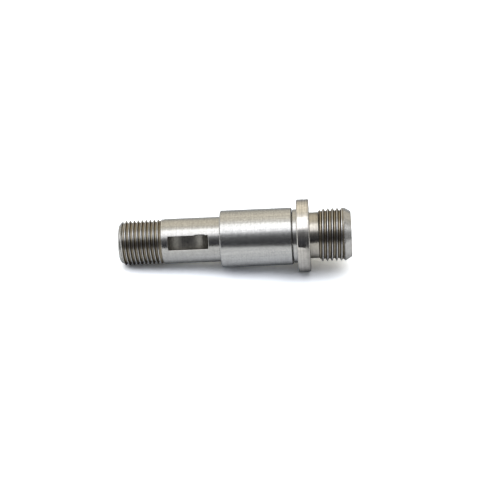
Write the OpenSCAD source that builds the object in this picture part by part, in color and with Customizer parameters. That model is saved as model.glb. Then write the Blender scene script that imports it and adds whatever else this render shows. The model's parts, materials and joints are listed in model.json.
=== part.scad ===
// Keyed, double-threaded machine spindle with a bearing sleeve and a thrust collar.
// The spindle's axis is +X: the keyed end points to -X, the clamping end to +X.
// The origin is on the axis, at the middle of the bearing sleeve.

/* [Bearing sleeve] */
// Length of the bearing sleeve
sleeve_l = 25.4; // [16:0.1:36]
// Radial wall of the bearing sleeve
sleeve_wall = 1.92; // [1:0.01:4]
// Bevel at both outer edges of the sleeve
sleeve_bevel = 0.35; // [0.1:0.05:0.6]
// Radial running clearance between the sleeve and its seat
running_gap = 0.03; // [0.01:0.01:0.08]
// End play between the sleeve and the shoulder that stops it
end_play = 0.2; // [0.1:0.05:1]

/* [Keyed end] */
// Diameter of the journal that carries the keyed wheel
journal_d = 16; // [13:0.1:18]
// Exposed length of that journal, from the thread to the sleeve
journal_l = 20; // [17:0.1:32]
// Diametral step from the journal up to the sleeve's seat
seat_step = 0.4; // [0.34:0.02:0.8]
// Length of the right-hand thread, with its end chamfer
key_thread_l = 16.1; // [9:0.1:26]
// How far the crests of that thread lie under the journal, on the diameter
key_crest_drop = 0.1; // [0.04:0.02:0.4]
// Pitch of the right-hand thread
key_pitch = 1.43; // [1:0.01:1.8]
// Axial length of the chamfer at the keyed end
key_chamfer_l = 1.9; // [1:0.1:3]
// Radial depth of the chamfer at the keyed end
key_chamfer_r = 1.3; // [0.8:0.1:2]

/* [Keyseat] */
// Width of the half-round keyseat
keyseat_w = 5; // [3:0.1:6]
// Diameter of the disc cutter that makes the keyseat
cutter_d = 16; // [12:0.1:18]
// Depth of the keyseat under the journal's crown
keyseat_depth = 4.6; // [2.5:0.1:5]
// Plain journal left between the thread's end and the keyseat's mouth
keyseat_lead = 1.53; // [0.5:0.01:2.6]
// Angle of the keyseat about the axis, from the front face (-Y) up towards +Z
keyseat_angle = 28; // [0:1:90]

/* [Thrust collar] */
// Width of the thrust collar
collar_w = 4.4; // [2.5:0.1:8]
// Height of the collar's rim above the seat that it is pressed on
collar_rim = 3.4; // [1.5:0.05:8]
// Bevel at both outer edges of the collar
collar_bevel = 0.25; // [0.1:0.05:0.8]
// Height of the shoulder, which is also the collar's seat, above the sleeve's seat
shoulder_h = 1.3; // [0.8:0.05:2.5]
// Radial interference of the pressed collar
press_fit = 0.01; // [0:0.005:0.02]
// Exposed length of the seat between the sleeve's stop and the collar
shoulder_l = 1.45; // [0.8:0.05:4]

/* [Clamping end] */
// How far the relief neck behind the collar lies under the thread's root
relief_under = 0.31; // [0.1:0.01:0.8]
// Length of the relief neck
relief_l = 3.1; // [2:0.1:7]
// Length of the left-hand thread, with its end chamfer
clamp_thread_l = 11.6; // [8:0.1:24]
// How far the crests of that thread lie under the collar's seat, on the diameter
clamp_crest_drop = 0.06; // [0.04:0.02:0.4]
// Pitch of the left-hand thread
clamp_pitch = 1.64; // [1:0.01:1.7]
// Axial length of the chamfer at the clamping end
clamp_chamfer_l = 2.2; // [1:0.1:3]
// Radial depth of the chamfer at the clamping end
clamp_chamfer_r = 1.4; // [1:0.1:2.2]

/* [Centre holes] */
// Diameter of the pilot of the centre hole in each end
centre_pilot_d = 2.5; // [1.6:0.1:3.2]
// Diameter of the 60 degree countersink at its mouth
centre_mouth_d = 5.3; // [4:0.1:6.7]
// Depth of the pilot past the countersink
centre_pilot_l = 2.2; // [1:0.1:4]

/* [Hidden] */
$fn = 96;

// Thread form: a 60 degree V, with a crest an eighth and a root a quarter of the pitch wide.
crest_share = 1/8;
root_share = 1/4;
depth_share = 0.6134;
// Small bevel that breaks the shoulder's edge
edge_break = 0.15;
// How far a cutting tool runs past what it cuts
overrun = 1;

// Stations along the axis, from the keyed end to the clamping end
sleeve_start = -sleeve_l/2;
sleeve_end = sleeve_l/2;
shoulder_x = sleeve_end + end_play;
collar_start = shoulder_x + shoulder_l;
collar_end = collar_start + collar_w;
clamp_thread_start = collar_end + relief_l;
clamp_end = clamp_thread_start + clamp_thread_l;
journal_start = sleeve_start - journal_l;
key_end = journal_start - key_thread_l;

// Radii that follow from the sizes above
journal_r = journal_d/2;
sleeve_seat_r = journal_r + seat_step/2;
sleeve_bore_r = sleeve_seat_r + running_gap;
sleeve_r = sleeve_bore_r + sleeve_wall;
collar_seat_r = sleeve_seat_r + shoulder_h;
collar_r = collar_seat_r + collar_rim;
key_crest_r = journal_r - key_crest_drop/2;
clamp_crest_r = collar_seat_r - clamp_crest_drop/2;
relief_r = clamp_crest_r - clamp_pitch*depth_share - relief_under;

// Half the length of the keyseat's mouth, and the station of its middle
keyseat_half = sqrt(pow(cutter_d/2, 2) - pow(cutter_d/2 - keyseat_depth, 2));
keyseat_x = journal_start + keyseat_lead + keyseat_half;

// A solid of revolution about +X, from an outline of [station, radius] points
module turned(outline) {
    rotate([90, 0, 90])
        rotate_extrude()
            polygon([for (p = outline) [p[1], p[0]]]);
}

// A plain round bar about +X, with a bevel of its own at each end
module bar(from, to, r, bevel_from = [0, 0], bevel_to = [0, 0]) {
    turned([
        [from, 0],
        [from, r - bevel_from[1]],
        if (bevel_from[0] > 0) [from + bevel_from[0], r],
        if (bevel_to[0] > 0) [to - bevel_to[0], r],
        [to, r - bevel_to[1]],
        [to, 0]
    ]);
}

// One ring of the thread's V groove, centred on station x
module thread_groove(x, crest_r, pitch) {
    half_mouth = pitch * (1 - crest_share)/2;
    half_root = pitch * root_share/2;
    root_r = crest_r - pitch*depth_share;
    slope = (half_mouth - half_root)/(crest_r - root_r);
    turned([
        [x - half_root, root_r],
        [x - half_mouth - slope*overrun, crest_r + overrun],
        [x + half_mouth + slope*overrun, crest_r + overrun],
        [x + half_root, root_r]
    ]);
}

// All the grooves between two stations, each a pitch from the next
module thread_grooves(from, to, crest_r, pitch) {
    count = floor((to - from)/pitch);
    first = (from + to - (count - 1)*pitch)/2;
    for (i = [0:count - 1]) thread_groove(first + i*pitch, crest_r, pitch);
}

// The half-round keyseat's cutter: a disc across the journal
module keyseat_cutter() {
    rotate([90 - keyseat_angle, 0, 0])
        translate([keyseat_x, 0, journal_r - keyseat_depth + cutter_d/2])
            rotate([90, 0, 0])
                cylinder(d = cutter_d, h = keyseat_w, center = true);
}

// A centre hole in the end face at station x; inward is the direction into the metal
module centre_hole(x, inward) {
    cone_l = (centre_mouth_d - centre_pilot_d)/2 / tan(30);
    bottom = cone_l + centre_pilot_l;
    over_r = overrun*tan(30);
    translate([x, 0, 0])
        rotate([0, 90*inward, 0]) {
            translate([0, 0, -overrun])
                cylinder(h = cone_l + overrun, r1 = centre_mouth_d/2 + over_r, r2 = centre_pilot_d/2);
            cylinder(h = bottom, d = centre_pilot_d);
        }
}

// The spindle: one turned piece, from the keyed thread to the clamping thread
module spindle() {
    color("silver")
        difference() {
            union() {
                bar(key_end, journal_start, key_crest_r, [key_chamfer_l, key_chamfer_r]);
                bar(journal_start, sleeve_start, journal_r);
                bar(sleeve_start, shoulder_x, sleeve_seat_r);
                bar(shoulder_x, collar_end, collar_seat_r, [edge_break, edge_break]);
                bar(collar_end, clamp_thread_start, relief_r);
                bar(clamp_thread_start, clamp_end, clamp_crest_r, bevel_to = [clamp_chamfer_l, clamp_chamfer_r]);
            }
            thread_grooves(key_end + key_chamfer_l/2, journal_start, key_crest_r, key_pitch);
            thread_grooves(clamp_thread_start, clamp_end - clamp_chamfer_l, clamp_crest_r, clamp_pitch);
            keyseat_cutter();
            centre_hole(key_end, 1);
            centre_hole(clamp_end, -1);
        }
}

// The bearing sleeve: a ground ring that the spindle turns in
module bearing_sleeve() {
    color("gainsboro")
        difference() {
            bar(sleeve_start, sleeve_end, sleeve_r,
                [sleeve_bevel, sleeve_bevel], [sleeve_bevel, sleeve_bevel]);
            bar(sleeve_start - overrun, sleeve_end + overrun, sleeve_bore_r);
        }
}

// The thrust collar: a polished ring pressed on the spindle's seat
module thrust_collar() {
    color("white")
        difference() {
            bar(collar_start, collar_end, collar_r,
                [collar_bevel, collar_bevel], [collar_bevel, collar_bevel]);
            bar(collar_start - overrun, collar_end + overrun, collar_seat_r - press_fit);
        }
}

spindle();
bearing_sleeve();
thrust_collar();
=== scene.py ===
import json
import math
import bmesh
import bpy
import mathutils
import numpy as np
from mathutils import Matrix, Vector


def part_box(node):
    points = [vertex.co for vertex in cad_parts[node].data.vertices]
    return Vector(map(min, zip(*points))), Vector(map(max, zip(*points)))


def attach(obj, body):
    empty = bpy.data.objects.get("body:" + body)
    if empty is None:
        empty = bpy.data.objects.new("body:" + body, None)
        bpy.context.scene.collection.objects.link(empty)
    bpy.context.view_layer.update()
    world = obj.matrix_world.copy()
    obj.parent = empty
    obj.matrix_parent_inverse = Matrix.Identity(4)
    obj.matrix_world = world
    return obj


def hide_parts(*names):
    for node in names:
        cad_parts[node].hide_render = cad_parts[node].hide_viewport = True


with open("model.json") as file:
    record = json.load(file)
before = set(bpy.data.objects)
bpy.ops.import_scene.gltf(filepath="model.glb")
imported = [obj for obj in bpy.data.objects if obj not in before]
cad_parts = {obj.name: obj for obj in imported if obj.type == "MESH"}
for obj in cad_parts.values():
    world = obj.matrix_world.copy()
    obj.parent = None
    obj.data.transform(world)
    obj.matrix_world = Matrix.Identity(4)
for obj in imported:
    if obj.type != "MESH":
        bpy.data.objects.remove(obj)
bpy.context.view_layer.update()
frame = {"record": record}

mm = 0.001
mounts = {mount["name"]: mount for mount in frame["record"]["mounts"]}

# stations along the axis come from the frame
sleeveLow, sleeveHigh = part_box("bearing_sleeve")
collarLow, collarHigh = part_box("thrust_collar")
spindleLow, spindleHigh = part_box("spindle")


def mountSpan(name):
    # first and last station of a round mount along X: its middle minus and plus half its length
    middle = mounts[name]["pos_m"][0]
    half = mounts[name]["dims"]["length_mm"] * mm / 2
    return middle - half, middle + half


keyedStart, keyedEnd = mountSpan("keyed_seat")
print("frame read: spindle %.1f mm long" % ((spindleHigh[0] - spindleLow[0]) / mm))

endBreak = 0.13 * mm  # how much of each end's length its rounded rim takes

spindleSize = {
    "keyThreadPitch": 1.43 * mm,
    "keyCrestRadius": 7.95 * mm,
    "keyChamfer": (1.9 * mm, 1.3 * mm),  # along the axis, across it
    "keyChamferRound": 1.6,  # 1 would be a straight cone; more bulges it outwards
    "keyRunout": 2.4 * mm,  # the groove fades out over this length before the journal
    "keyPhase": 0.83,  # share of a pitch that the crests are moved along
    "clampThreadPitch": 1.64 * mm,
    "clampCrestRadius": 9.47 * mm,
    "clampChamfer": (2.2 * mm, 1.4 * mm),
    "clampFade": 1.4 * mm,  # the groove fades out over this length before the end chamfer
    "clampPhase": 0.26,
    "threadDepthShare": 0.6134,
    "brightEnd": 0.6 * mm,  # where a groove has faded this near its end, it takes the plain steel, without the flanks' painted shade
    "crestRound": 0.25,  # how far the crest's flat bulges, as a share of its width
    "seatRadius": 8.2 * mm,
    "shoulderStart": 12.9 * mm,
    "shoulderRadius": 9.5 * mm,
    "reliefRadius": 8.154 * mm,
    "reliefEnd": 21.85 * mm,
    "edgeBreak": 0.12 * mm,
    "pilotRadius": 1.25 * mm,
    "pilotDepth": 2.2 * mm,
    "mouthRadius": 2.65 * mm,
    "mouthBreak": 0.1 * mm,
    "coneHalfAngle": math.radians(30),
    # the end face from its inner row out to the rim: how far inside the rim, how far along the axis
    "endRim": [(1.2 * mm, 0), (0.28 * mm, 0), (0.12 * mm, 0.03 * mm), (0, endBreak)],
    # the corner of the neck behind the collar: how far along the axis, how far above the neck
    "reliefCorner": [(-0.02 * mm, 0.3 * mm), (0.07 * mm, 0.09 * mm), (0.28 * mm, 0)],
    "reliefRow": 1.5 * mm,  # a row of points this far before the thread keeps the neck's shading flat
    "reliefRise": 1.3,  # slope of the cone on which the thread rises out of the neck
    "crestBand": 0.03 * mm,  # faces this close under the crest count as crest
    "flankStart": 0.2 * mm,
    "keyseatBelow": 0.11 * mm,  # faces this far under the journal belong to the keyseat
    "seam": 0.01 * mm,  # margin in deciding which side of a joint a face is on
}

keyseatSize = {
    "angle": math.radians(28),  # above the front face
    "width": 5.0 * mm,
    "discRadius": 8.0 * mm,
    "depth": 4.6 * mm,
    "fromThread": 8.776 * mm,
    "edgeBreak": 0.08 * mm,
    "nick": (13.0 * mm, 1.4 * mm, 0.36 * mm),  # where on the upper edge, half its length, how far it bites
    "innerColumns": 16,
    "outerColumns": 164,
    "rowsBefore": 4,  # rows of faces on the journal before the keyseat, and after it
    "rowsAfter": 8,
    "floorPoints": 41,
    "wallPoints": 7,
}


mergeWithin = 1e-7  # points closer than this, in metres, are one


def newPiece(name, points, faces, sharpAngle=26):
    # points and faces become one closed mesh: doubles merged, normals outwards, smooth up to an angle
    mesh = bpy.data.meshes.new(name)
    mesh.from_pydata(points.tolist(), [], faces.tolist())
    build = bmesh.new()
    build.from_mesh(mesh)
    bmesh.ops.remove_doubles(build, verts=build.verts, dist=mergeWithin)
    bmesh.ops.dissolve_degenerate(build, edges=build.edges, dist=mergeWithin)
    bmesh.ops.recalc_face_normals(build, faces=build.faces)
    build.to_mesh(mesh)
    build.free()
    mesh.shade_smooth()
    mesh.set_sharp_from_angle(angle=math.radians(sharpAngle))
    piece = bpy.data.objects.new(name, mesh)
    bpy.context.scene.collection.objects.link(piece)
    return piece


def gridFaces(rows, columns):
    # quads of an open grid, rows by columns points, numbered row by row
    row, column = np.meshgrid(np.arange(rows - 1), np.arange(columns - 1), indexing="ij")
    first = (row * columns + column).ravel()
    return np.stack([first, first + 1, first + columns + 1, first + columns], axis=1)


class Patchwork:
    # gathers grids of points into one mesh
    def __init__(self):
        self.points = []
        self.faces = []
        self.count = 0

    def add(self, grid, faces=None, turned=False):
        rows, columns = grid.shape[:2]
        if faces is None:
            faces = gridFaces(rows, columns)
        if turned:
            faces = faces[:, ::-1]
        self.points.append(grid.reshape(-1, 3))
        self.faces.append(faces + self.count)
        self.count += rows * columns

    def piece(self, name, **options):
        return newPiece(name, np.concatenate(self.points), np.concatenate(self.faces), **options)


keyseatOut = np.array([0, -math.cos(keyseatSize["angle"]), math.sin(keyseatSize["angle"])])
keyseatAcross = np.array([0, -math.sin(keyseatSize["angle"]), -math.cos(keyseatSize["angle"])])


def aroundAxis(x, radius, angle):
    # a point at station x, at radius and angle from the axis; angle 0 is the keyseat's middle
    x, radius, angle = np.broadcast_arrays(x, radius, angle)
    out = (radius * np.cos(angle))[..., None] * keyseatOut
    across = (radius * np.sin(angle))[..., None] * keyseatAcross
    along = x[..., None] * np.array([1.0, 0, 0])
    return along + out + across


def lathe(patches, outline, angles):
    # outline of (station, radius) pairs turned about X through the closed list of angles
    stations, radii = np.array(outline).T
    patches.add(aroundAxis(stations[:, None], radii[:, None], angles[None, :]))


def roundedCorner(corner, before, after, size):
    # an arc that replaces a corner: (1 - t)^2 start + 2 t (1 - t) corner + t^2 end
    corner, before, after = (np.array(p, float) for p in (corner, before, after))
    start = corner + (before - corner) / np.linalg.norm(before - corner) * size
    end = corner + (after - corner) / np.linalg.norm(after - corner) * size
    t = np.linspace(0, 1, ringSize["cornerPoints"])[:, None]
    return ((1 - t) ** 2 * start + 2 * t * (1 - t) * corner + t ** 2 * end).tolist()


def threadPatch(patches, start, end, pitch, hand, phase, angles, radiusAt):
    # x = s + hand * pitch * angle / 2 pi, held between start and end; r = radiusAt(x, angle).
    # Rows follow the helix, so that crests and roots are true edges; a turn later row i meets the row
    # one pitch on. The rows begin two turns early and end late, so that every angle is covered.
    sixteenths = np.array([0, 0.5, 1, 1.9, 3, 4.1, 5.2, 6, 7, 8, 9, 10, 10.8, 11.9, 13, 14.1, 15, 15.5])
    perPitch = len(sixteenths)
    turns = int(math.ceil((end - start) / pitch)) + 3
    first = math.floor(start / pitch) - 2
    stations = ((first + phase + np.arange(turns + 2))[:, None] + sixteenths[None, :] / 16).ravel() * pitch
    x = np.clip(stations[:, None] + hand * pitch * angles[None, :-1] / (2 * math.pi), start, end)
    rows, columns = x.shape
    grid = aroundAxis(x, radiusAt(x, angles[None, :-1]), angles[None, :-1])
    row, column = np.meshgrid(np.arange(rows - 1), np.arange(columns), indexing="ij")
    wrap = column == columns - 1
    nextColumn = (column + 1) % columns
    here = np.clip(row + np.where(wrap, hand * perPitch, 0), 0, rows - 1)
    above = np.clip(row + 1 + np.where(wrap, hand * perPitch, 0), 0, rows - 1)
    faces = np.stack([
        row * columns + column,
        here * columns + nextColumn,
        above * columns + nextColumn,
        (row + 1) * columns + column,
    ], axis=-1).reshape(-1, 4)
    patches.add(grid, faces)


def threadRadius(x, angle, pitch, hand, phase, crest, fade):
    # 60 degree V: a bulging crest an eighth of the pitch wide and a flat root a quarter of it.
    # r = crest - fade * (bulge + (depth - bulge) * share), where share is 0 on the crest and 1 at the root
    depth = spindleSize["threadDepthShare"] * pitch
    turn = x / pitch - phase - hand * angle / (2 * math.pi)
    away = np.abs((turn + 0.5) % 1 - 0.5)
    share = np.clip((away - 1 / 16) / (3 / 8 - 1 / 16), 0, 1)
    bulge = np.clip(away * 16, 0, 1) ** 2 * spindleSize["crestRound"] * pitch / 16
    return crest - fade * (bulge + (depth - bulge) * share)


def makeSpindle():
    size = spindleSize
    seat = keyseatSize
    journal = mounts["keyed_seat"]["dims"]["r_mm"] * mm
    halfWidth = seat["width"] / 2
    lip = seat["edgeBreak"]
    halfAngle = math.asin((halfWidth + lip) / journal)
    inner = np.linspace(-halfAngle, halfAngle, seat["innerColumns"] + 1)
    outer = np.linspace(halfAngle, 2 * math.pi - halfAngle, seat["outerColumns"] + 1)
    angles = np.concatenate([inner[:-1], outer])
    patches = Patchwork()

    keyEnd, clampEnd = spindleLow[0], spindleHigh[0]
    keyRim = size["keyCrestRadius"] - size["keyChamfer"][1]
    clampRim = size["clampCrestRadius"] - size["clampChamfer"][1]
    coneLength = (size["mouthRadius"] - size["pilotRadius"]) / math.tan(size["coneHalfAngle"])

    def endFace(station, inward, rim):
        # centre hole, flat face and a broken edge out to the rim
        tip = station + inward * (coneLength + size["pilotDepth"])
        neck = station + inward * coneLength
        outline = [
            (tip, 0), (tip, size["pilotRadius"]), (neck, size["pilotRadius"]),
            (station + inward * size["mouthBreak"], size["mouthRadius"]),
            (station, size["mouthRadius"] + size["mouthBreak"]),
        ]
        outline += [(station + inward * along, rim - inside) for inside, along in size["endRim"]]
        lathe(patches, outline if inward > 0 else outline[::-1], angles)

    def keyThread(x, angle):
        # the V thread, fading into the journal, cut by the end's bulging chamfer: rim + h (1 - (1 - t)^round)
        pitch = size["keyThreadPitch"]
        left = 1 - np.clip((x - keyEnd - endBreak) / (size["keyChamfer"][0] - endBreak), 0, 1)
        chamfer = keyRim + size["keyChamfer"][1] * (1 - left ** size["keyChamferRound"])
        fade = np.clip((keyedStart - x) / size["keyRunout"], 0, 1)
        thread = threadRadius(x, angle, pitch, 1, size["keyPhase"], size["keyCrestRadius"], fade)
        return np.minimum(thread, chamfer)

    def clampThread(x, angle):
        # the V thread, rising out of the relief, fading before the end's cone
        pitch = size["clampThreadPitch"]
        coneStart = clampEnd - size["clampChamfer"][0]
        fade = np.clip((coneStart - x) / size["clampFade"], 0, 1)
        thread = threadRadius(x, angle, pitch, -1, size["clampPhase"], size["clampCrestRadius"], fade)
        startCone = size["reliefRadius"] + (x - size["reliefEnd"]) * size["reliefRise"]
        endCone = clampRim + (clampEnd - endBreak - x) * size["clampChamfer"][1] / size["clampChamfer"][0]
        return np.minimum(np.minimum(thread, startCone), endCone)

    endFace(keyEnd, 1, keyRim)
    threadPatch(patches, keyEnd + endBreak, keyedStart, size["keyThreadPitch"], 1, size["keyPhase"],
                angles, keyThread)
    lathe(patches, [(keyedStart, size["keyCrestRadius"]), (keyedStart, journal)], angles)

    # the plain journal, as a grid with the keyseat's opening left out of it
    middle = keyedStart + seat["fromThread"]
    discHeight = journal - seat["depth"] + seat["discRadius"]

    def reach(height):
        # half the disc's length at this height above the axis
        return np.sqrt(seat["discRadius"] ** 2 - (discHeight - height) ** 2)

    def across(startX, endX, columns, rows):
        t = np.linspace(0, 1, rows + 1)[:, None]
        x = startX + t * (endX - startX)
        patches.add(aroundAxis(x, journal, columns[None, :] + 0 * x))

    def inSeat(x, height, side):
        # a point in the keyseat's own directions: along, out and across
        x, height, side = np.broadcast_arrays(x, height, side)
        return (x[..., None] * np.array([1.0, 0, 0]) + height[..., None] * keyseatOut
                + side[..., None] * keyseatAcross)

    innerReach = reach(journal * np.cos(inner)) + lip
    outerReach = innerReach[0] + 0 * outer
    across(keyedStart + 0 * inner, middle - innerReach, inner, seat["rowsBefore"])
    across(middle + innerReach, keyedEnd + 0 * inner, inner, seat["rowsAfter"])
    across(keyedStart + 0 * outer, middle - outerReach, outer, seat["rowsBefore"])
    across(middle + outerReach, keyedEnd + 0 * outer, outer, seat["rowsAfter"])
    share = np.sin(np.linspace(-1, 1, seat["floorPoints"]) * math.pi / 2)
    x = middle + share[:, None] * outerReach[None, :]
    nickAt, nickLength, nickBite = seat["nick"]
    bite = nickBite * np.exp(-((x[:, :1] - keyedStart - nickAt) / nickLength) ** 2)
    turned = outer[None, :] + 0 * x
    bite[:2], bite[-2:] = 0, 0  # none at the corners
    turned[:, -1:] -= bite / journal
    patches.add(aroundAxis(x, journal, turned))

    # the lip round the opening, then the floor, an arc of the disc, and two flat side walls
    sides = np.linspace(-halfWidth, halfWidth, len(inner))
    crown = np.sqrt(journal ** 2 - sides ** 2) - lip
    floorReach = reach(crown)
    for end in (-1, 1):
        top = aroundAxis(middle + end * innerReach, journal, inner)
        bottom = inSeat(middle + end * floorReach, crown, sides)
        patches.add(np.stack([top, bottom]), turned=end < 0)
    for column, angle in ((0, turned[:, -1]), (-1, turned[:, 0])):
        top = aroundAxis(x[:, 0], journal, angle)
        bottom = inSeat(middle + share * floorReach[column], crown[column], sides[column])
        patches.add(np.stack([top, bottom]), turned=column == -1)
    offset = share[:, None] * floorReach[None, :]
    height = discHeight - np.sqrt(seat["discRadius"] ** 2 - offset ** 2)
    height[0], height[-1] = crown, crown
    patches.add(inSeat(middle + offset, height, sides[None, :]))
    for column in (-1, 0):
        t = np.linspace(0, 1, seat["wallPoints"])[None, :]
        wallHeight = crown[column] + (height[:, column, None] - crown[column]) * t
        wall = inSeat(middle + offset[:, column][:, None], wallHeight, sides[column])
        patches.add(wall, turned=column == -1)

    # sleeve seat, shoulder, collar seat and relief neck
    edge = size["edgeBreak"]
    shoulder = size["shoulderStart"]
    corner = [(collarHigh[0] + along, size["reliefRadius"] + above) for along, above in size["reliefCorner"]]
    lathe(patches, [
        (keyedEnd, journal), (keyedEnd, size["seatRadius"]), (0, size["seatRadius"]),
        (shoulder, size["seatRadius"]), (shoulder, size["shoulderRadius"] - edge),
        (shoulder + edge, size["shoulderRadius"]), (collarLow[0], size["shoulderRadius"]),
        (corner[0][0], size["shoulderRadius"]), *corner,
        (size["reliefEnd"] - size["reliefRow"], size["reliefRadius"]),
        (size["reliefEnd"], size["reliefRadius"]),
    ], angles)
    threadPatch(patches, size["reliefEnd"], clampEnd - endBreak, size["clampThreadPitch"], -1,
                size["clampPhase"], angles, clampThread)
    endFace(clampEnd, -1, clampRim)
    piece = patches.piece("spindleTurned")
    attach(piece, "spindle")
    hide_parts("spindle")
    print("spindle made:", len(piece.data.polygons), "faces")
    return piece


ringSize = {
    "columns": 220,
    "sleeveBore": 8.23 * mm,
    "sleeveBevel": 0.35 * mm,
    "collarBore": 9.5 * mm,
    "collarBevel": 0.25 * mm,
    "softCorner": 0.09 * mm,
    "cornerPoints": 5,
}


def makeRing(name, node, body, low, high, bore, bevel):
    # an outline with a 45 degree bevel at each outer edge, its corners softened, turned about the axis
    radius = high[2]
    start, end = low[0], high[0]
    soft = ringSize["softCorner"]
    corners = [
        (start, bore + soft), (start, radius - bevel), (start + bevel, radius),
        (end - bevel, radius), (end, radius - bevel), (end, bore + soft),
        (end - soft, bore), (start + soft, bore),
    ]
    outline = []
    for index, corner in enumerate(corners):
        before = corners[index - 1]
        after = corners[(index + 1) % len(corners)]
        if 1 <= index <= 4:
            outline += roundedCorner(corner, before, after, soft)
        else:
            outline.append(corner)
    outline.append(outline[0])
    patches = Patchwork()
    lathe(patches, outline, np.linspace(0, 2 * math.pi, ringSize["columns"] + 1))
    piece = patches.piece(name, sharpAngle=50)
    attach(piece, body)
    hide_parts(node)
    print(name, "made:", len(piece.data.polygons), "faces")
    return piece


# tint weights say how much the mottle, the streaks along the axis and the rings round it vary the colour
turnedLook = {
    "colour": (0.345, 0.343, 0.337), "edge": (0.52, 0.53, 0.55), "roughness": 0.22, "roughVary": 0.06,
    "mottle": 1300, "mottleTint": 0.7, "mottleBump": 0.003, "streakTint": 0.35, "streakBump": 0.004,
    "rings": 2300, "ringTint": 0.4, "ringBump": 0.006, "specks": 0.35,
}
# painted shade: the threads' flanks and roots are the plain steel coloured darker and browner, for the shade
# in the grooves
flankPaintedShadeLook = {
    "colour": (0.215, 0.19, 0.148), "edge": (0.5, 0.5, 0.5), "roughness": 0.3, "roughVary": 0.12,
    "mottle": 1500, "mottleTint": 1.0, "mottleBump": 0.012, "streakTint": 0.2, "streakBump": 0.004,
    "rings": 3200, "ringTint": 0.5, "ringBump": 0.008, "specks": 0.35,
}
# painted highlight: the threads' crests are the plain steel coloured brighter, for the bright lines along
# them
crestPaintedHighlightLook = {
    "colour": (0.50, 0.51, 0.53), "edge": (0.9, 0.9, 0.9), "roughness": 0.24, "roughVary": 0.08,
    "mottle": 1500, "mottleTint": 0.5, "mottleBump": 0.004, "streakTint": 0.1, "streakBump": 0.002,
    "rings": 3200, "ringTint": 0.2, "ringBump": 0.003, "specks": 0.15,
}
keyseatLook = {
    "colour": (0.335, 0.325, 0.3), "edge": (0.5, 0.5, 0.5), "roughness": 0.3, "roughVary": 0.1,
    "mottle": 1100, "mottleTint": 0.9, "mottleBump": 0.01, "streakTint": 0.2, "streakBump": 0.003,
    "rings": 1300, "ringTint": 0.9, "ringBump": 0.012, "specks": 0.35,
}
reliefLook = {
    "colour": (0.298, 0.282, 0.255), "edge": (0.42, 0.42, 0.42), "roughness": 0.19, "roughVary": 0.08,
    "mottle": 1300, "mottleTint": 0.6, "mottleBump": 0.003, "streakTint": 0.2, "streakBump": 0.002,
    "rings": 1900, "ringTint": 1.3, "ringBump": 0.012, "specks": 0.35,
}
groundLook = {
    "colour": (0.36, 0.361, 0.36), "edge": (0.45, 0.46, 0.48), "roughness": 0.24, "roughVary": 0.06,
    "mottle": 1300, "mottleTint": 0.8, "mottleBump": 0.002, "streakTint": 0.5, "streakBump": 0.005,
    "rings": 2700, "ringTint": 0.35, "ringBump": 0.005, "specks": 0.45,
}
polishedLook = {
    "colour": (0.47, 0.456, 0.436), "edge": (0.32, 0.32, 0.33), "roughness": 0.1, "roughVary": 0.05,
    "mottle": 900, "mottleTint": 0.7, "mottleBump": 0.002, "streakTint": 0.5, "streakBump": 0.002,
    "rings": 1500, "ringTint": 1.5, "ringBump": 0.008, "specks": 0.35,
}
collarRubAndShade = {  # a rubbed band on the collar's rim, and painted shade over its lower half, darker towards the bottom
    "from": 0.62, "to": 0.72, "roughness": 0.12, "shade": 0.82,
    "stainBelow": 2.4 * mm, "stainFade": 2.4 * mm, "stainShade": 0.7,
}


steelGrain = {
    "streaks": 1400, "specks": 1700,
    "stretch": 0.03,  # how far streaks and rings are drawn out
    "speckFrom": 0.68, "speckTo": 0.76,
    "spread": 0.4,  # how far the colour may go either way
}


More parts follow.
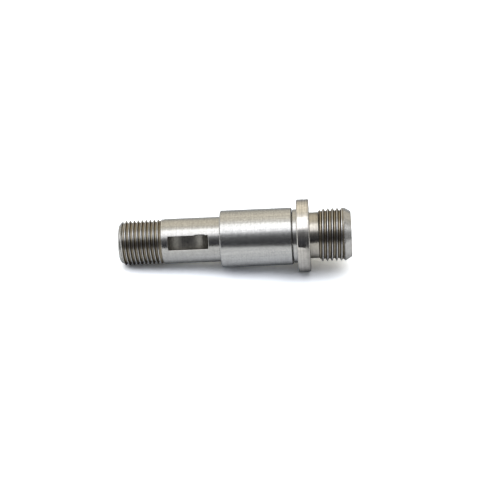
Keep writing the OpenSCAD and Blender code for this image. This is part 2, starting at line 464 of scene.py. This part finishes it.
def steel(name, look, rubAndShade=None):
    # bare steel: colour * (1 + spread * weighted noises about their middle) * specks;
    # the roughness follows the mottle
    material = bpy.data.materials.new(name)
    material.use_nodes = True
    nodes = material.node_tree.nodes
    links = material.node_tree.links
    shader = nodes["Principled BSDF"]
    shader.inputs["Metallic"].default_value = 1.0
    shader.inputs["Specular Tint"].default_value = (*look["edge"], 1)
    coordinates = nodes.new("ShaderNodeTexCoord")

    def noise(scale, stretch, detail):
        mapping = nodes.new("ShaderNodeMapping")
        mapping.inputs["Scale"].default_value = stretch
        links.new(coordinates.outputs["Object"], mapping.inputs["Vector"])
        texture = nodes.new("ShaderNodeTexNoise")
        texture.inputs["Scale"].default_value = scale
        texture.inputs["Detail"].default_value = detail
        links.new(mapping.outputs["Vector"], texture.inputs["Vector"])
        return texture.outputs["Fac"]

    def ramp(value, low, high, fromValue, toValue):
        node = nodes.new("ShaderNodeMapRange")
        limits = {"From Min": fromValue, "From Max": toValue, "To Min": low, "To Max": high}
        for socket, number in limits.items():
            node.inputs[socket].default_value = number
        links.new(value, node.inputs["Value"])
        return node.outputs["Result"]

    def calculate(operation, *values):
        node = nodes.new("ShaderNodeMath")
        node.operation = operation
        for socket, value in zip(node.inputs, values):
            if isinstance(value, (int, float)):
                socket.default_value = value
            else:
                links.new(value, socket)
        return node.outputs[0]

    def bump(height, distance, normal=None):
        node = nodes.new("ShaderNodeBump")
        node.inputs["Strength"].default_value = 1
        node.inputs["Distance"].default_value = distance * mm
        links.new(height, node.inputs["Height"])
        if normal is not None:
            links.new(normal, node.inputs["Normal"])
        return node.outputs["Normal"]

    long = steelGrain["stretch"]
    rings = noise(look["rings"], (1, long, long), 3)
    mottle = noise(look["mottle"], (1, 1, 1), 4)
    streaks = noise(steelGrain["streaks"], (long, 1, 1), 3)
    specks = noise(steelGrain["specks"], (0.7, 1, 1), 2)

    weights = ((mottle, look["mottleTint"]), (streaks, look["streakTint"]), (rings, look["ringTint"]))
    share = 0.5 - sum(weight for _, weight in weights) / 2
    for value, weight in weights:
        share = calculate("MULTIPLY_ADD", value, weight, share)
    dimming = ramp(specks, 1, 1 - look["specks"], steelGrain["speckFrom"], steelGrain["speckTo"])
    share = calculate("MULTIPLY", share, dimming)
    leastRough = look["roughness"] - look["roughVary"] / 2
    roughness = calculate("MULTIPLY_ADD", mottle, look["roughVary"], leastRough)
    if rubAndShade:
        split = nodes.new("ShaderNodeSeparateXYZ")
        links.new(coordinates.outputs["Object"], split.inputs[0])
        width = collarHigh[0] - collarLow[0]
        wornFrom, wornTo = (collarLow[0] + rubAndShade[key] * width for key in ("from", "to"))
        worn = ramp(split.outputs["X"], 0, 1, wornFrom, wornTo)
        share = calculate("MULTIPLY", share, ramp(worn, 1, rubAndShade["shade"], 0, 1))
        # painted shade: below a height in Object Z the collar's base colour is scaled darker, standing in for
        # the dimmer reflection of its lower half; it turns with the collar
        paintedShadeTop = rubAndShade["stainBelow"] + rubAndShade["stainFade"]
        paintedShade = ramp(split.outputs["Z"], rubAndShade["stainShade"], 1, rubAndShade["stainBelow"], paintedShadeTop)
        roughness = calculate("MULTIPLY_ADD", worn, rubAndShade["roughness"], roughness)
    spread = steelGrain["spread"]
    mix = nodes.new("ShaderNodeMix")
    mix.data_type = "RGBA"
    mix.inputs["A"].default_value = (*(channel * (1 - spread) for channel in look["colour"]), 1)
    mix.inputs["B"].default_value = (*(channel * (1 + spread) for channel in look["colour"]), 1)
    links.new(share, mix.inputs["Factor"])
    tint = mix.outputs["Result"]
    if rubAndShade:
        # painted shade: the tint is scaled down by the lower-half shade
        paintedShadeScale = nodes.new("ShaderNodeVectorMath")
        paintedShadeScale.operation = "SCALE"
        links.new(tint, paintedShadeScale.inputs[0])
        links.new(paintedShade, paintedShadeScale.inputs["Scale"])
        tint = paintedShadeScale.outputs[0]
    links.new(tint, shader.inputs["Base Color"])
    links.new(roughness, shader.inputs["Roughness"])
    normal = bump(streaks, look["streakBump"], bump(rings, look["ringBump"]))
    links.new(bump(mottle, look["mottleBump"], normal), shader.inputs["Normal"])
    return material


def dress(piece, *materials):
    piece.data.materials.clear()
    for material in materials:
        piece.data.materials.append(material)


def markSpindle(piece):
    # face materials: 0 turned, 1 the threads' flanks and roots, darker as painted shade in the grooves, 2
    # their crests, brighter as a painted highlight, 3 the keyseat, 4 the relief
    size = spindleSize
    mesh = piece.data
    centres = np.empty(len(mesh.polygons) * 3, np.float32)
    mesh.polygons.foreach_get("center", centres)
    centres = centres.reshape(-1, 3)
    x = centres[:, 0]
    radius = np.hypot(centres[:, 1], centres[:, 2])
    slots = np.zeros(len(x), np.int32)
    threads = (
        (spindleLow[0] + size["keyChamfer"][0], keyedStart - size["brightEnd"], size["keyCrestRadius"]),
        (size["reliefEnd"] + size["flankStart"], spindleHigh[0] - size["clampChamfer"][0] - size["brightEnd"],
         size["clampCrestRadius"]),
    )
    for start, end, crest in threads:
        inside = (x > start) & (x < end)
        onCrest = radius >= crest - size["crestBand"]
        slots[inside & ~onCrest] = 1
        slots[inside & onCrest] = 2
    journal = mounts["keyed_seat"]["dims"]["r_mm"] * mm
    plain = (x > keyedStart + size["seam"]) & (x < keyedEnd - size["seam"])
    slots[plain & (radius < journal - size["keyseatBelow"])] = 3
    slots[(x > collarHigh[0] - size["seam"]) & (x < size["reliefEnd"])] = 4
    mesh.polygons.foreach_set("material_index", slots)


spindle = makeSpindle()
sleeve = makeRing("bearingSleeveGround", "bearing_sleeve", "sleeve", sleeveLow, sleeveHigh,
                  ringSize["sleeveBore"], ringSize["sleeveBevel"])
collar = makeRing("thrustCollarPolished", "thrust_collar", "spindle", collarLow, collarHigh,
                  ringSize["collarBore"], ringSize["collarBevel"])
dress(spindle, steel("turnedSteel", turnedLook), steel("threadFlankSteel", flankPaintedShadeLook),
      steel("threadCrestSteel", crestPaintedHighlightLook), steel("keyseatSteel", keyseatLook),
      steel("reliefSteel", reliefLook))
markSpindle(spindle)
dress(sleeve, steel("groundSteel", groundLook))
dress(collar, steel("polishedSteel", polishedLook, collarRubAndShade))
print("steels mixed")

# The spindle lies on the rim of its collar and on the crests of its keyed thread, so the table
# leans against the spindle's axis by the angle between those two.
touchLeft = (spindleLow[0] + spindleSize["keyChamfer"][0], -spindleSize["keyCrestRadius"])
touchRight = (collarLow[0] + ringSize["collarBevel"], -collarHigh[2])
lean = math.atan2(touchLeft[1] - touchRight[1], touchRight[0] - touchLeft[0])
tableAlong = np.array([math.cos(lean), 0, -math.sin(lean)])
tableDepth = np.array([0, 1.0, 0])
tableUp = np.array([math.sin(lean), 0, math.cos(lean)])

tableLook = {
    "reach": 6.0,
    "front": [(-30 * mm, 450 * mm), (25 * mm, 170 * mm)],  # station, and how far in front the sheet ends
    "colour": (0.90, 0.925, 0.965),
    "seen": (1.20, 1.25, 1.33),  # brighter when looked at than when mirrored, as an overexposed backdrop is
}


def makeTable():
    # a big flat sheet in the plane through both touching points; its front edge is nearer on the right
    centre = np.array([touchRight[0], 0, touchRight[1]])
    reach = tableLook["reach"]
    (farAt, far), (nearAt, near) = tableLook["front"]
    outline = ((-reach, -far), (farAt - centre[0], -far), (nearAt - centre[0], -near),
               (reach, -near), (reach, reach), (-reach, reach))
    corners = [centre + along * tableAlong + depth * tableDepth for along, depth in outline]
    mesh = bpy.data.meshes.new("table")
    mesh.from_pydata([list(c) for c in corners], [], [tuple(range(len(corners)))])
    table = bpy.data.objects.new("table", mesh)
    bpy.context.scene.collection.objects.link(table)
    material = bpy.data.materials.new("tableWhite")
    material.use_nodes = True
    nodes = material.node_tree.nodes
    links = material.node_tree.links
    nodes.remove(nodes["Principled BSDF"])
    paper = nodes.new("ShaderNodeBsdfDiffuse")
    path = nodes.new("ShaderNodeLightPath")
    seen = nodes.new("ShaderNodeMix")
    seen.data_type = "RGBA"
    seen.inputs["A"].default_value = (*tableLook["colour"], 1)
    seen.inputs["B"].default_value = (*tableLook["seen"], 1)
    links.new(path.outputs["Is Camera Ray"], seen.inputs["Factor"])
    links.new(seen.outputs["Result"], paper.inputs["Color"])
    links.new(paper.outputs["BSDF"], nodes["Material Output"].inputs["Surface"])
    mesh.materials.append(material)


# the light by its angle about the spindle's axis, from the front horizon (0) over the top (90) to the back
studio = {
    "sky": [
        (0, (0.055, 0.055, 0.06)),
        (16, (0.078, 0.08, 0.09)),
        (34, (0.15, 0.15, 0.155)),
        (44, (0.30, 0.302, 0.31)),
        (51, (0.58, 0.59, 0.61)),
        (62, (2.6, 2.6, 2.65)),
        (88, (3.3, 3.3, 3.25)),
        (98, (1.6, 1.55, 1.45)),
        (112, (1.34, 1.26, 1.06)),
        (135, (1.50, 1.38, 1.13)),
        (165, (1.15, 1.08, 0.92)),
        (180, (0.9, 0.88, 0.8)),
    ],
    "sides": (0.72, 0.72, 0.71),  # what lies past either end of the spindle
    "sidesFrom": 0.5,  # how far a direction leans along the axis before it meets them
    "sidesTo": 0.85,
    "sidesShare": 0.68,
    "view": (1.15, 1.15, 1.15),  # what a camera sees past the table
}


def makeStudio():
    # the sky's light by the angle of its direction about X, counted up from the front, and by its share of X
    world = bpy.data.worlds.new("studio")
    bpy.context.scene.world = world
    world.use_nodes = True
    nodes = world.node_tree.nodes
    links = world.node_tree.links
    background = nodes["Background"]
    coordinates = nodes.new("ShaderNodeTexCoord")
    split = nodes.new("ShaderNodeSeparateXYZ")
    links.new(coordinates.outputs["Generated"], split.inputs[0])

    def calculate(operation, first, second=None):
        node = nodes.new("ShaderNodeMath")
        node.operation = operation
        for socket, value in zip(node.inputs, (first, second)):
            if isinstance(value, (int, float)):
                socket.default_value = value
            elif value is not None:
                links.new(value, socket)
        return node.outputs[0]

    toFront = calculate("MULTIPLY", split.outputs["Y"], -1)
    share = calculate("DIVIDE", calculate("ARCTAN2", split.outputs["Z"], toFront), math.pi)
    ramp = nodes.new("ShaderNodeValToRGB")
    elements = ramp.color_ramp.elements
    while len(elements) < len(studio["sky"]):
        elements.new(0.5)
    for element, (degrees, colour) in zip(elements, studio["sky"]):
        element.position = degrees / 180
        element.color = (*colour, 1)
    links.new(share, ramp.inputs["Fac"])

    lean = nodes.new("ShaderNodeMapRange")
    lean.interpolation_type = "SMOOTHSTEP"
    lean.inputs["From Min"].default_value = studio["sidesFrom"]
    lean.inputs["From Max"].default_value = studio["sidesTo"]
    lean.inputs["To Max"].default_value = studio["sidesShare"]
    links.new(calculate("ABSOLUTE", split.outputs["X"]), lean.inputs["Value"])

    def blend(factor, first, second):
        node = nodes.new("ShaderNodeMix")
        node.data_type = "RGBA"
        links.new(factor, node.inputs["Factor"])
        links.new(first, node.inputs["A"])
        node.inputs["B"].default_value = (*second, 1)
        return node.outputs["Result"]

    path = nodes.new("ShaderNodeLightPath")
    lit = blend(lean.outputs["Result"], ramp.outputs["Color"], studio["sides"])
    links.new(blend(path.outputs["Is Camera Ray"], lit, studio["view"]), background.inputs["Color"])


cameraPlace = {
    "azimuth": math.radians(1.14),  # towards the collar's end
    "elevation": math.radians(35),  # above the table
    "roll": math.radians(0.74),
    "distance": 0.472,
    "focal": 99.6,
    "aimRight": 1.71 * mm,
    "aimUp": -0.57 * mm,
    "middleShift": -0.065 * mm,
    "sensor": 36,
    "clip": (0.01, 50),
}


def makeCamera():
    place = cameraPlace
    inward = np.array([-math.cos(place["elevation"]) * math.sin(place["azimuth"]),
                       math.cos(place["elevation"]) * math.cos(place["azimuth"]),
                       -math.sin(place["elevation"])])
    right = np.array([math.cos(place["azimuth"]), math.sin(place["azimuth"]), 0])
    up = np.cross(right, inward)
    turn = place["roll"]
    right, up = math.cos(turn) * right + math.sin(turn) * up, math.cos(turn) * up - math.sin(turn) * right
    table = np.stack([tableAlong, tableDepth, tableUp], axis=1)
    right, up, inward = table @ right, table @ up, table @ inward
    middle = np.array([(spindleLow[0] + spindleHigh[0]) / 2 + place["middleShift"], 0, 0])
    target = middle + right * place["aimRight"] + up * place["aimUp"]
    camera = bpy.data.objects.new("camera", bpy.data.cameras.new("camera"))
    bpy.context.scene.collection.objects.link(camera)
    camera.data.sensor_width = place["sensor"]
    camera.data.lens = place["focal"]
    camera.data.clip_start, camera.data.clip_end = place["clip"]
    rotation = mathutils.Matrix(np.stack([right, up, -inward], axis=1).tolist())
    camera.matrix_world = (mathutils.Matrix.Translation((target - inward * place["distance"]).tolist())
                           @ rotation.to_4x4())
    bpy.context.scene.camera = camera


makeTable()
makeStudio()
makeCamera()
bpy.context.scene.view_settings.view_transform = "Standard"
print("table, light and camera set")
